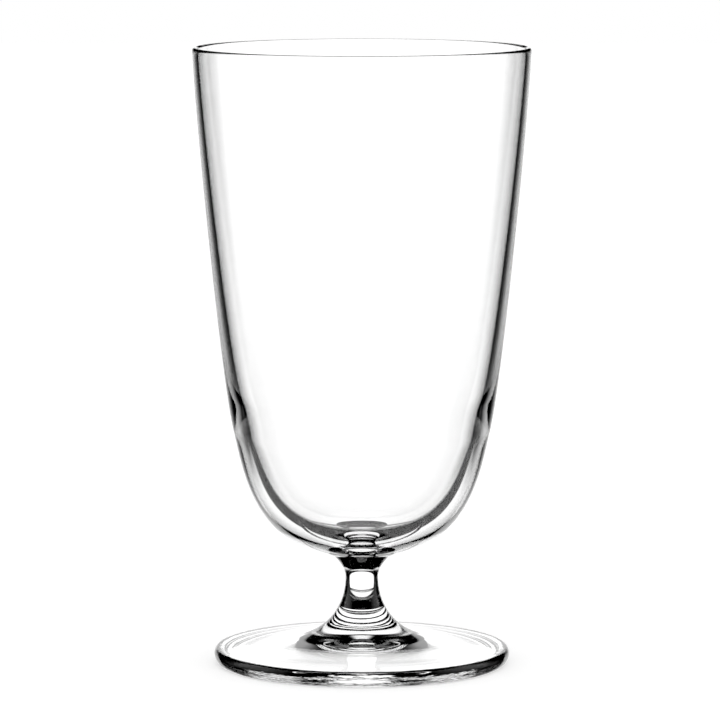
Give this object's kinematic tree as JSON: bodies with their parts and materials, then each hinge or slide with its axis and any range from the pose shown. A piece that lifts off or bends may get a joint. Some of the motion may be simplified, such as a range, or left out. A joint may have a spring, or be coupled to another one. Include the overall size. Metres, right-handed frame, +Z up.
{
  "type": "highball glass",
  "caption": "Clear footed highball glass: a tall tapering blown bowl with a thick rounded base, fused to a short waisted stem on a round pressed foot.",
  "frame": {"origin": "on the table plane, under the middle of the foot", "axes": "+Z up along the axis of the glass, towards the rim; the glass is round, so +X and +Y are any two level directions"},
  "size_m": [0.084, 0.084, 0.154],
  "materials": {
    "blown_glass": "clear, smooth, fire-polished rim",
    "drawn_glass": "clear, smooth",
    "pressed_glass": "clear, smooth, faint chill marks round the edge"
  },
  "bodies": {
    "root": {"bowl": "blown_glass", "stem": "drawn_glass", "foot": "pressed_glass"}
  },
  "joints": []
}
